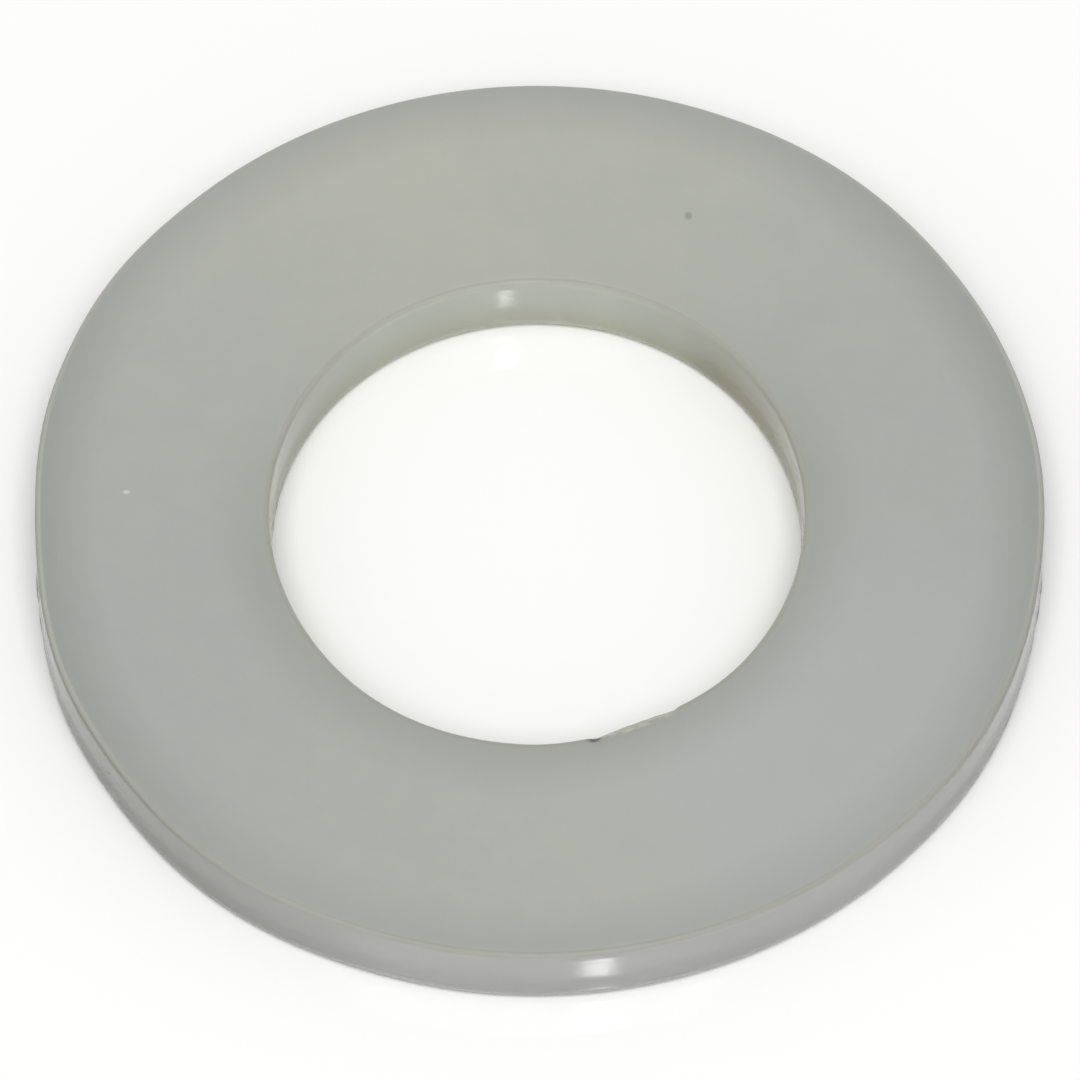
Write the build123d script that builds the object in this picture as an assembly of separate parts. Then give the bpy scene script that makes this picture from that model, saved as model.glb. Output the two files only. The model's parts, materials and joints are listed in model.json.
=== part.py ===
from build123d import *
import os

# A plain flat washer for an M10 screw, moulded in one piece from uncoloured nylon.
# Sizes are in millimetres. The origin is the centre of the underside, which is the
# seating face, and +Z runs up along the axis of the bore.

bore_diameter = 10.5  # clearance hole of the M10 size
outside_diameter = 20.0
thickness = 1.6
edge_radius = 0.12  # moulded rounding of the two outer and the two bore edges

gate_direction = -68.0  # degrees round the bore from +X to the place of the trimmed gate
gate_stand = 0.07  # how far the trimmed stub is proud of the bore wall
gate_foot = 0.4  # height of the stub's lower end above the underside
gate_head = 1.5  # height of its upper end
gate_root = 0.5  # how deep the stub runs into the ring, so that the two are one solid

bore_radius = bore_diameter / 2
outside_radius = outside_diameter / 2


def ring():
    """The ring: one rounded rectangle, turned all the way round the bore's axis."""
    section = Plane.XZ * Pos((bore_radius + outside_radius) / 2, thickness / 2) * RectangleRounded(
        outside_radius - bore_radius, thickness, edge_radius
    )
    return revolve(section, Axis.Z)


def gate_stub():
    """The stub left where the gate was cut off: its flat face is a chord across the bore wall."""
    stub_face = bore_radius - gate_stand
    half_chord = (bore_radius**2 - stub_face**2) ** 0.5
    block = Box(
        gate_stand + gate_root,
        2 * half_chord + gate_root,
        gate_head - gate_foot,
        align=(Align.MIN, Align.CENTER, Align.MIN),
    )
    return Rot(0, 0, gate_direction) * Pos(stub_face, 0, gate_foot) * block


def washer():
    """The whole washer, which is a single moulding."""
    return ring() + gate_stub()


os.makedirs("parts", exist_ok=True)
export_step(washer(), "parts/washer.step")
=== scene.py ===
import json
import math

import bmesh
import bpy
from mathutils import Matrix, Vector, noise


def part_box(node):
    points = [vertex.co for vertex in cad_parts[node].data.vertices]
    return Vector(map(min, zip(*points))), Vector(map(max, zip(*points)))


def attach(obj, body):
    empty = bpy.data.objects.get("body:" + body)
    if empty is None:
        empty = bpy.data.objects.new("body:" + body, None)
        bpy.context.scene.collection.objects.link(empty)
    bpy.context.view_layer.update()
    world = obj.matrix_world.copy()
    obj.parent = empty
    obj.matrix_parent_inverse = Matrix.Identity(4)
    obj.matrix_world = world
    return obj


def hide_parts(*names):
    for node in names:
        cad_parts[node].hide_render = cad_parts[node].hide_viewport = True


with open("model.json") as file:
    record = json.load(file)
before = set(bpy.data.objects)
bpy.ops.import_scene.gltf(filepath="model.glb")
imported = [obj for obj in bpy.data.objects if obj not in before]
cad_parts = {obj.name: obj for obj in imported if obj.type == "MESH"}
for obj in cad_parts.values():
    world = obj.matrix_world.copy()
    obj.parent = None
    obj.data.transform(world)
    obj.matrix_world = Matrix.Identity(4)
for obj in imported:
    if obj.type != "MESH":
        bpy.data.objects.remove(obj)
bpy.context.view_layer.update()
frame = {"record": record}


# ---------------------------------------------------------------------------------------------
# The washer. One injection moulding of natural nylon 6/6: a flat ring with nearly sharp edges,
# a fine parting line low on both walls, and the trimmed stub of its gate inside the bore.
# It is fixed to nothing: a screw passes through it and clamps it by its two faces.
# ---------------------------------------------------------------------------------------------

mm = 0.001
lowest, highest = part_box("washer")
bore_mount = next(mount for mount in frame["record"]["mounts"] if mount["kind"] == "bore")
outer_radius = (highest.x - lowest.x) / 2
bore_radius = bore_mount["dims"]["r_mm"] * mm
thickness = highest.z - lowest.z
edge_radius = (thickness - bore_mount["dims"]["length_mm"] * mm) / 2
ring_middle = (outer_radius + bore_radius) / 2
ring_width = outer_radius - bore_radius

# The section is a rounded rectangle, cut fine enough along its sides to take the small shapes below.
spin_steps = 360
face_cuts = 34
wall_cuts = 12
edge_segments = 5
parting_height = 0.27 * mm
parting_width = 0.03 * mm

form = bmesh.new()
upright = Matrix.Rotation(math.radians(90), 4, "X")
stretch = Matrix.Diagonal((ring_width, thickness, 1, 1))
section = Matrix.Translation((ring_middle, 0, thickness / 2)) @ upright @ stretch
bmesh.ops.create_grid(form, x_segments=1, y_segments=1, size=0.5, matrix=section)
bmesh.ops.bevel(
    form, geom=form.verts[:], offset=edge_radius, offset_type="OFFSET", affect="VERTICES",
    segments=edge_segments, profile=0.5, material=-1,
)
bmesh.ops.delete(form, geom=form.faces[:], context="FACES_ONLY")
straight_sides = [edge for edge in form.edges if edge.calc_length() > 4 * edge_radius]
walls = [edge for edge in straight_sides if abs(edge.verts[0].co.z - edge.verts[1].co.z) > edge_radius]
faces = [edge for edge in straight_sides if edge not in walls]
bmesh.ops.subdivide_edges(form, edges=walls, cuts=wall_cuts)
bmesh.ops.subdivide_edges(form, edges=faces, cuts=face_cuts)
for height in (parting_height - parting_width, parting_height, parting_height + parting_width):
    bmesh.ops.bisect_plane(
        form, geom=form.verts[:] + form.edges[:], plane_co=(0, 0, height), plane_no=(0, 0, 1)
    )
bmesh.ops.spin(
    form, geom=form.verts[:] + form.edges[:], cent=(0, 0, 0), axis=(0, 0, 1),
    angle=math.tau, steps=spin_steps, use_merge=True,
)
bmesh.ops.remove_doubles(form, verts=form.verts[:], dist=0.002 * mm)
bmesh.ops.recalc_face_normals(form, faces=form.faces[:])

# What moulding and cooling do to the ring. Uneven shrinkage leaves the rim a little flat in some
# places and full in others, and the bore a little close beside the gate. Each such move has an
# azimuth and a reach in degrees. The faces sink a little mid-ring. The walls swell gently towards
# the parting line, which is itself a fine worn ridge.
rim_moves = (
    (-177, 22, -0.14 * mm), (-127, 24, 0.08 * mm), (148, 16, 0.05 * mm),
    (-32, 14, 0.03 * mm), (-8, 18, -0.05 * mm), (52, 20, 0.035 * mm),
)
bore_moves = ((-66, 26, -0.08 * mm), (-125, 30, 0.03 * mm))
wander = 0.008 * mm
wander_length = 4 * mm
face_sink = 0.02 * mm
ridge_stand = 0.014 * mm
ridge_wear_length = 0.35 * mm
ridge_left = 0.35  # the share of the ridge that wear has left on average
ridge_unevenness = 1.5
swell_stand = 0.024 * mm
swell_reach = 0.5 * mm

# Each point keeps the radius it has on the true ring, so that the material can tell wall from face.
true_radius = form.verts.layers.float.new("true_radius_mm")


def bell(offset, reach):
    """A smooth hump: 1 where the offset is nought, and 0 from the reach on."""
    return (1 + math.cos(math.pi * min(abs(offset) / reach, 1))) / 2


def turn_between(azimuth, other):
    """The angle from one azimuth to another, in degrees, the short way round."""
    return (azimuth - other + 180) % 360 - 180


def total_move(azimuth, moves):
    """All the moves that reach one azimuth, added together."""
    return sum(bell(turn_between(azimuth, at), reach) * by for at, reach, by in moves)


for vertex in form.verts:
    azimuth = math.degrees(math.atan2(vertex.co.y, vertex.co.x))
    radius = vertex.co.xy.length
    vertex[true_radius] = radius / mm
    across_ring = (radius - bore_radius) / ring_width
    move = total_move(azimuth, rim_moves) * across_ring
    move += total_move(azimuth, bore_moves) * (1 - across_ring)
    move += noise.noise(Vector((vertex.co.x, vertex.co.y, 0)) / wander_length) * wander
    on_wall = abs(across_ring - 0.5) > 0.4999
    if on_wall:
        unworn = max(0, ridge_left + ridge_unevenness * noise.noise(vertex.co / ridge_wear_length))
        ridge = bell(vertex.co.z - parting_height, parting_width) * ridge_stand * unworn
        swell = bell(vertex.co.z - parting_height, swell_reach) * swell_stand
        side = 1 if across_ring > 0.5 else -1
        move += side * (ridge + swell)
    sink = face_sink * bell(radius - ring_middle, ring_width / 2)
    vertex.co.z += sink * (1 - 2 * vertex.co.z / thickness)
    vertex.co.xy *= (radius + move) / radius

# The gate's stub: a shallow flat across the bore wall, left by the knife. The knife also shaved the
# bore's top edge along it, and tore a small nick where it came out.
gate_azimuth = -68
gate_stand = 0.07 * mm
gate_foot = 0.4 * mm
gate_head = 1.5 * mm
gate_reach = math.degrees(math.acos(1 - gate_stand / bore_radius))
tear_depth = 0.012 * mm
tear_length = 0.16 * mm
shave_depth = 0.05 * mm
shave_width = 0.22 * mm
nick_azimuth = gate_azimuth - gate_reach - 0.5
nick_depth = 0.09 * mm
nick_width = 0.12 * mm
nick_reach = 1.6  # degrees to either side

for vertex in form.verts:
    azimuth = math.degrees(math.atan2(vertex.co.y, vertex.co.x))
    radius = vertex.co.xy.length
    from_gate = turn_between(azimuth, gate_azimuth)
    inset = vertex[true_radius] * mm - bore_radius
    if abs(from_gate) > gate_reach + 2 * nick_reach or inset > 2 * shave_width:
        continue
    tear = noise.noise(vertex.co / tear_length) * tear_depth
    chord = (bore_radius - gate_stand) / math.cos(math.radians(from_gate))
    near_wall = min(1, max(0, 1 - inset / edge_radius))
    if gate_foot < vertex.co.z < gate_head and chord < bore_radius:
        chord += total_move(azimuth, bore_moves)
        vertex.co.xy *= 1 - (radius - chord - tear) * near_wall / radius
    if vertex.co.z > thickness / 2 and abs(from_gate) < gate_reach:
        shaved = bell(inset, shave_width) * shave_depth
        vertex.co.z -= shaved * (vertex.co.z / thickness) + abs(tear)
    nick_round = bell(turn_between(azimuth, nick_azimuth), nick_reach)
    nick_across = bell(inset - edge_radius / 2, nick_width)
    vertex.co.z -= nick_round * nick_across * nick_depth * (vertex.co.z / thickness)

washer_mesh = bpy.data.meshes.new("washer_moulding")
form.to_mesh(washer_mesh)
form.free()
for polygon in washer_mesh.polygons:
    polygon.use_smooth = True
washer = bpy.data.objects.new("washer_moulding", washer_mesh)
bpy.context.scene.collection.objects.link(washer)


def linear(code):
    """An sRGB hex colour as the linear RGBA that a shader takes."""
    channels = [int(code[i:i + 2], 16) / 255 for i in (1, 3, 5)]
    curve = [c / 12.92 if c <= 0.04045 else ((c + 0.055) / 1.055) ** 2.4 for c in channels]
    return (*curve, 1)


def add(tree, kind, inputs, **settings):
    """Adds a node with its settings. Each input is a plain value or another node's output."""
    node = tree.nodes.new(kind)
    for name, value in settings.items():
        setattr(node, name, value)
    for key, value in inputs.items():
        if isinstance(value, bpy.types.NodeSocket):
            tree.links.new(value, node.inputs[key])
        else:
            node.inputs[key].default_value = value
    return node


# Natural nylon 6/6, injection moulded: milky and slightly translucent, with a satin skin. Its colour
# has painted sheen, paler near an axis nearly front to back, and painted shade, darker towards the
# edges, along the fine top-edge lines, down the walls and at the walls' sides. The knife's cut at
# the gate is paler and yellower. Lengths in this material are in mm.
nylon = bpy.data.materials.new("natural_nylon_moulded")
nylon.use_nodes = True
tree = nylon.node_tree
tree.nodes.clear()

# The axis, nearly front to back, near which sheen is painted paler and beside which the walls are painted
# darker as shade.
sheen_axis_azimuth = 100
clear_azimuth = -42
# The side of the bore where an olive shade is painted low on the wall.
olive_shade_azimuth = 28
scuff_azimuth = 27
scuff_stretch = (9.0, 0.28, 0.5)


def ray(azimuth):
    """The level direction of an azimuth, as a vector one long."""
    return Vector((math.cos(math.radians(azimuth)), math.sin(math.radians(azimuth)), 0))


# Where a point of the washer is: its height, its place on the ring, and how far along the sheen axis.
place = add(tree, "ShaderNodeTexCoord", {}).outputs["Object"]
in_mm = add(tree, "ShaderNodeMapping", {"Vector": place, "Scale": (1 / mm,) * 3}).outputs["Vector"]
height = add(tree, "ShaderNodeSeparateXYZ", {"Vector": in_mm}).outputs["Z"]
level_place = add(tree, "ShaderNodeVectorMath", {0: in_mm, 1: (1, 1, 0)}, operation="MULTIPLY").outputs[0]
outward = add(tree, "ShaderNodeVectorMath", {0: level_place}, operation="NORMALIZE").outputs[0]
radius_mm = add(tree, "ShaderNodeAttribute", {}, attribute_name="true_radius_mm").outputs["Fac"]
from_bore = add(tree, "ShaderNodeMath", {0: radius_mm, 1: bore_radius / mm}, operation="SUBTRACT").outputs[0]
from_rim = add(tree, "ShaderNodeMath", {0: outer_radius / mm, 1: radius_mm}, operation="SUBTRACT").outputs[0]
from_wall = add(tree, "ShaderNodeMath", {0: from_bore, 1: from_rim}, operation="MINIMUM").outputs[0]
along_sheen_axis = add(tree, "ShaderNodeVectorMath", {
    0: level_place, 1: ray(sheen_axis_azimuth),
}, operation="DOT_PRODUCT").outputs["Value"]
toward_clear = add(tree, "ShaderNodeVectorMath", {
    0: outward, 1: ray(clear_azimuth),
}, operation="DOT_PRODUCT").outputs["Value"]
toward_stain = add(tree, "ShaderNodeVectorMath", {
    0: outward, 1: ray(olive_shade_azimuth),
}, operation="DOT_PRODUCT").outputs["Value"]
# How near a point lies to the sheen axis: 1 on it, 0 square to it. Painted sheen and painted side shade
# follow it.
sheen_axis_share = add(tree, "ShaderNodeMath", {0: along_sheen_axis, 1: radius_mm}, operation="DIVIDE").outputs[0]
near_sheen_axis = add(tree, "ShaderNodeMath", {0: sheen_axis_share, 1: sheen_axis_share}, operation="MULTIPLY").outputs[0]

# Random patterns in the nylon and on its skin, by the size of their patches.
patterns = {}
for name, size, detail, roughness in (
    ("clouds", 3.2, 2.0, 0.5),
    ("mottles", 0.45, 3.0, 0.6),
    ("tearing", 0.2, 2.0, 0.5),
    ("grain", 0.12, 3.0, 0.6),
    ("swell", 1.8, 1.0, 0.5),
):
    patterns[name] = add(tree, "ShaderNodeTexNoise", {
        "Vector": in_mm, "Scale": 1 / size, "Detail": detail, "Roughness": roughness,
    }).outputs["Fac"]
scuff_run = add(tree, "ShaderNodeMapping", {
    "Vector": in_mm, "Rotation": (0, 0, math.radians(scuff_azimuth)), "Scale": scuff_stretch,
}, vector_type="POINT").outputs["Vector"]
patterns["scuffs"] = add(tree, "ShaderNodeTexNoise", {
    "Vector": scuff_run, "Scale": 1.0, "Detail": 2.0,
}).outputs["Fac"]

# Where each tone and mark holds. A factor is 0 at its first mark and full at its second.
factors = {}
for name, measure, none_at, full_at, full, run in (
    ("clouds", patterns["clouds"], 0.3, 0.7, 0.25, "SMOOTHSTEP"),
    ("mottles", patterns["mottles"], 0.3, 0.7, 0.3, "SMOOTHSTEP"),
    # Paler towards the far side.
    ("paler_far_side", along_sheen_axis, -12.0, 12.0, 1.0, "LINEAR"),
    ("clearer", toward_clear, 0.7, 1.0, 0.6, "SMOOTHSTEP"),
    # Painted sheen and shade by azimuth: face edges paler near the axis, walls darker beside it, the front
    # top-edge line darker mid-axis.
    ("edge_lit_near_axis", near_sheen_axis, 0.0, 0.65, 1.0, "LINEAR"),
    ("wall_shaded_beside_axis", near_sheen_axis, 0.8, 0.1, 1.0, "LINEAR"),
    ("darker_mid_axis", near_sheen_axis, 0.6, 0.95, 1.0, "SMOOTHSTEP"),
    # Painted light: the bore edge paler on its far half, which faces the lamps.
    ("lit_far_half", along_sheen_axis, 0.0, 6.0, 1.0, "LINEAR"),
    # Painted light: the top-edge line paler away from the front.
    ("lit_off_front", along_sheen_axis, -6.0, 0.0, 1.0, "SMOOTHSTEP"),
    ("on_bore_side", radius_mm, 8.2, 7.0, 1.0, "SMOOTHSTEP"),
    ("on_rim_wall", from_rim, 0.06, 0.0, 1.0, "SMOOTHSTEP"),
    ("on_bore_wall", from_bore, 0.06, 0.0, 1.0, "SMOOTHSTEP"),
    # Painted shade: the walls darker towards their foot on the floor.
    ("lit_up_wall", height, 0.1, 1.2, 1.0, "SMOOTHSTEP"),
    ("inward", from_wall, 0.0, 1.3, 1.0, "LINEAR"),
    ("at_edge", from_wall, 0.14, 0.1, 1.0, "SMOOTHSTEP"),
    ("at_top", height, 1.53, 1.59, 1.0, "SMOOTHSTEP"),
    # Painted shade: an olive, darker band low on the bore's right side.
    ("olive_shade_round", toward_stain, 0.86, 0.96, 0.7, "SMOOTHSTEP"),
    ("near_bore", from_bore, 0.35, 0.0, 1.0, "SMOOTHSTEP"),
    ("low_down", height, 1.9, 0.3, 1.0, "SMOOTHSTEP"),
    ("torn", patterns["tearing"], 0.3, 0.6, 0.9, "SMOOTHSTEP"),
    ("on_face", from_wall, 0.02, 0.16, 1.0, "SMOOTHSTEP"),
    ("scuffed", patterns["scuffs"], 0.66, 0.72, 1.0, "SMOOTHSTEP"),
):
    factors[name] = add(tree, "ShaderNodeMapRange", {
        "Value": measure, "From Min": none_at, "From Max": full_at, "To Max": full,
    }, interpolation_type=run).outputs["Result"]

# The marks that sit at one place: the knife's cut at the gate, its nick, painted dark as the shade
# in its hollow, and two specks. Each is an ellipsoid that fades out at its skin, with its centre,
# half sizes, turn and strength.
gate_cut_at = ray(gate_azimuth) * 5.21 + Vector((0, 0, 1.55))
nick_at = ray(nick_azimuth) * 5.28 + Vector((0, 0, 1.5))
for name, centre, half_sizes, turn, strength in (
    ("gate_cut", gate_cut_at, (0.11, 0.75, 0.3), gate_azimuth, 1.0),
    ("nick", nick_at, (0.08, 0.16, 0.16), nick_azimuth, 0.85),
    ("pale_speck", (-8.07, 0.42, 1.6), (0.07, 0.05, 0.3), 0, 0.7),
    ("dark_speck", (3.02, 6.86, 1.6), (0.085, 0.095, 0.3), 0, 0.5),
):
    inside = add(tree, "ShaderNodeMapping", {
        "Vector": in_mm, "Location": centre, "Rotation": (0, 0, math.radians(turn)), "Scale": half_sizes,
    }, vector_type="TEXTURE").outputs["Vector"]
    reach = add(tree, "ShaderNodeVectorMath", {0: inside}, operation="LENGTH").outputs["Value"]
    factors[name] = add(tree, "ShaderNodeMapRange", {
        "Value": reach, "From Min": 1.3, "From Max": 0.5, "To Max": strength,
    }, interpolation_type="SMOOTHSTEP").outputs["Result"]

# The factors that hold only where all of their parts do. The rounding is a fine line round each
# top edge, which handling has dulled, and whose colour is painted darker as shade.
for name, parts in (
    ("rounding", ("at_edge", "at_top")),
    ("olive_shade", ("olive_shade_round", "near_bore", "low_down")),
    ("gate_scar", ("gate_cut", "torn")),
    ("scuff_lines", ("scuffed", "on_face")),
):
    factors[name] = factors[parts[0]]
    for part in parts[1:]:
        both = {0: factors[name], 1: factors[part]}
        factors[name] = add(tree, "ShaderNodeMath", both, operation="MULTIPLY").outputs[0]

# The paleness of the core is the sum of four shares: painted sheen near the sheen axis, a paler
# far side, broad clouds and fine mottles.
shares = near_sheen_axis
for name in ("clouds", "mottles", "paler_far_side"):
    shares = add(tree, "ShaderNodeMath", {0: shares, 1: factors[name]}, operation="ADD").outputs[0]
factors["sheen_and_mottling"] = add(tree, "ShaderNodeMapRange", {
    "Value": shares, "From Min": 0.4, "From Max": 2.25,
}, interpolation_type="LINEAR").outputs["Result"]
# Painted shade: the body darkens towards the edges and walls, fading out over 1.3 mm inward.
factors["edge_shade_fade"] = add(tree, "ShaderNodeMath", {0: factors["inward"], 1: 0.8}, operation="POWER").outputs[0]

# The tones, from the core out to the edges and walls, and then the marks over them. The edges,
# walls and top-edge lines carry painted shade. Each is mixed from two others: it is the first where
# its factor is 0, and the second where it is 1.
tones = {}
for name, factor, first, second in (
    # The core: random clouds and mottles, with painted sheen near the sheen axis.
    ("milky_with_sheen", "sheen_and_mottling", "#a9aca9", "#b5b7ad"),
    ("core", "clearer", "milky_with_sheen", "#b0b3b2"),
    # Painted shade: the face darker at its edges, most beside the sheen axis, with the bore edge painted
    # paler on its far half.
    ("rim_edge", "edge_lit_near_axis", "#989c96", "#a4a6a2"),
    ("bore_edge", "lit_far_half", "#a1a49d", "#b3b5ad"),
    ("face_edge", "on_bore_side", "rim_edge", "bore_edge"),
    # Painted shade: the walls darker at the foot, and much darker beside the sheen axis.
    ("rim_wall_near_axis", "lit_up_wall", "#9fa09d", "#a9aaa7"),
    ("rim_wall_shaded_beside", "lit_up_wall", "#6c6d67", "#7f807a"),
    ("rim_wall", "wall_shaded_beside_axis", "rim_wall_near_axis", "rim_wall_shaded_beside"),
    ("bore_wall_near_axis", "lit_up_wall", "#a9ac9b", "#b5b8ae"),
    ("bore_wall_shaded_beside", "lit_up_wall", "#868774", "#9b9c91"),
    ("bore_wall", "wall_shaded_beside_axis", "bore_wall_near_axis", "bore_wall_shaded_beside"),
    ("edge_or_rim_wall", "on_rim_wall", "face_edge", "rim_wall"),
    ("edge_or_wall", "on_bore_wall", "edge_or_rim_wall", "bore_wall"),
    ("body", "edge_shade_fade", "edge_or_wall", "core"),
    # Painted shade: the fine top-edge line darker than the face, most at the front.
    ("front_rounding", "darker_mid_axis", "#9b9c94", "#96978f"),
    ("rim_rounding", "lit_off_front", "front_rounding", "#a6a8a0"),
    ("rounding", "on_bore_side", "rim_rounding", "#9fa097"),
    ("edge_line_shaded", "rounding", "body", "rounding"),
    # Painted shade: the olive, darker band low on the bore's right side.
    ("olive_shaded", "olive_shade", "edge_line_shaded", "#85836a"),
    ("scarred", "gate_scar", "olive_shaded", "#c6c8b0"),
    # Painted shade: the nick's hollow darkened.
    ("nick_shaded", "nick", "scarred", "#4e4d45"),
    ("pale_specked", "pale_speck", "nick_shaded", "#d6d9d2"),
    ("finished", "dark_speck", "pale_specked", "#77796f"),
):
    sides = [tones[side] if side in tones else linear(side) for side in (first, second)]
    mixed = {0: factors[factor], 6: sides[0], 7: sides[1]}
    tones[name] = add(tree, "ShaderNodeMix", mixed, data_type="RGBA").outputs[2]

# Skin: glossy walls, satin faces from a spark-eroded mould, dulled edges, and a few scuff lines.
wall_rough = 0.09
rounding_rough = 0.6
scuff_rough = 0.55
face_rough = add(tree, "ShaderNodeMapRange", {
    "Value": patterns["grain"], "From Min": 0.3, "From Max": 0.7, "To Min": 0.38, "To Max": 0.46,
}).outputs["Result"]
scuff_gloss = add(tree, "ShaderNodeMath", {
    0: factors["scuff_lines"], 1: 0.6,
}, operation="MULTIPLY").outputs[0]
skin_rough = wall_rough
for factor, rough in (
    (factors["on_face"], face_rough), (factors["rounding"], rounding_rough), (scuff_gloss, scuff_rough),
):
    mixed = {0: factor, 2: skin_rough, 3: rough}
    skin_rough = add(tree, "ShaderNodeMix", mixed, data_type="FLOAT").outputs[0]
swell_bump = add(tree, "ShaderNodeBump", {
    "Height": patterns["swell"], "Strength": 0.5, "Distance": 0.02 * mm,
})
grain_bump = add(tree, "ShaderNodeBump", {
    "Height": patterns["grain"], "Strength": 0.5, "Distance": 0.003 * mm,
    "Normal": swell_bump.outputs["Normal"],
})
scuff_bump = add(tree, "ShaderNodeBump", {
    "Height": factors["scuff_lines"], "Strength": 0.4, "Distance": 0.002 * mm,
    "Normal": grain_bump.outputs["Normal"],
}, invert=True)

shader = add(tree, "ShaderNodeBsdfPrincipled", {
    "Base Color": tones["finished"], "Roughness": skin_rough, "IOR": 1.53,
    "Normal": scuff_bump.outputs["Normal"], "Subsurface Weight": 1.0,
    "Subsurface Radius": (1.0, 0.95, 0.85), "Subsurface Scale": 0.3 * mm,
})
add(tree, "ShaderNodeOutputMaterial", {"Surface": shader.outputs["BSDF"]})
washer_mesh.materials.append(nylon)

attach(washer, "root")
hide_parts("washer")


# ---------------------------------------------------------------------------------------------
# The floor: a near-white polished sheet that the washer lies on, a hair below it because no
# moulding is quite flat, and the pale room round it. Neither belongs to the part.
# ---------------------------------------------------------------------------------------------

floor_size = 3.0
floor_gap = 0.02 * mm
floor_form = bmesh.new()
floor_place = Matrix.Translation((0, 0, -floor_gap))
bmesh.ops.create_grid(floor_form, x_segments=1, y_segments=1, size=floor_size / 2, matrix=floor_place)
floor_mesh = bpy.data.meshes.new("floor")
floor_form.to_mesh(floor_mesh)
floor_form.free()
floor = bpy.data.objects.new("floor", floor_mesh)
bpy.context.scene.collection.objects.link(floor)
sheet = bpy.data.materials.new("white_polished_sheet")
sheet.use_nodes = True
sheet.node_tree.nodes.clear()
sheet_shader = add(sheet.node_tree, "ShaderNodeBsdfPrincipled", {
    "Base Color": linear("#fafaf8"), "Roughness": 0.08, "IOR": 1.5,
})
add(sheet.node_tree, "ShaderNodeOutputMaterial", {"Surface": sheet_shader.outputs["BSDF"]})
floor_mesh.materials.append(sheet)

room = bpy.data.worlds.new("pale_room")
room.use_nodes = True
room.node_tree.nodes["Background"].inputs["Color"].default_value = linear("#ffffff")
room.node_tree.nodes["Background"].inputs["Strength"].default_value = 0.5
bpy.context.scene.world = room
bpy.context.scene.view_settings.view_transform = "Standard"


# ---------------------------------------------------------------------------------------------
# The light: one broad softbox over the camera, and a small flash a little to its right, which
# shows only as its own reflection on the glossy walls and the floor.
# ---------------------------------------------------------------------------------------------

centre = Vector((0, 0, thickness / 2))


def lamp(name, azimuth, elevation, distance, size, power, catchlight_only=False):
    """A square lamp that faces the washer. Azimuth 0 is the camera's side, and 90 is to its right."""
    turn = math.radians(azimuth)
    rise = math.radians(elevation)
    away = Vector((math.sin(turn) * math.cos(rise), -math.cos(turn) * math.cos(rise), math.sin(rise)))
    light = bpy.data.lights.new(name, "AREA")
    light.size = size
    light.energy = power
    holder = bpy.data.objects.new(name, light)
    holder.visible_diffuse = not catchlight_only
    holder.location = centre + away * distance
    holder.rotation_euler = away.to_track_quat("Z", "Y").to_euler()
    bpy.context.scene.collection.objects.link(holder)


lamp("softbox", 0, 68, 0.6, 0.4, 2.5)
lamp("flash", 14, 60, 0.5, 0.009, 1.5, catchlight_only=True)


# ---------------------------------------------------------------------------------------------
# The camera: a long lens some 20 cm away, looking along +Y and steeply down at the washer, which
# fills most of the view.
# ---------------------------------------------------------------------------------------------

elevation = math.radians(59.2)
distance = 210 * mm
field_width = 21.26 * mm
aim = centre + Vector((0.06, -0.21, 0)) * mm
back = Vector((0, -math.cos(elevation), math.sin(elevation)))
lens = bpy.data.cameras.new("camera")
lens.sensor_width = 36
lens.lens = lens.sensor_width * distance / field_width
lens.clip_start = distance / 100
camera = bpy.data.objects.new("camera", lens)
camera.location = aim + back * distance
camera.rotation_euler = back.to_track_quat("Z", "Y").to_euler()
bpy.context.scene.collection.objects.link(camera)
bpy.context.scene.camera = camera
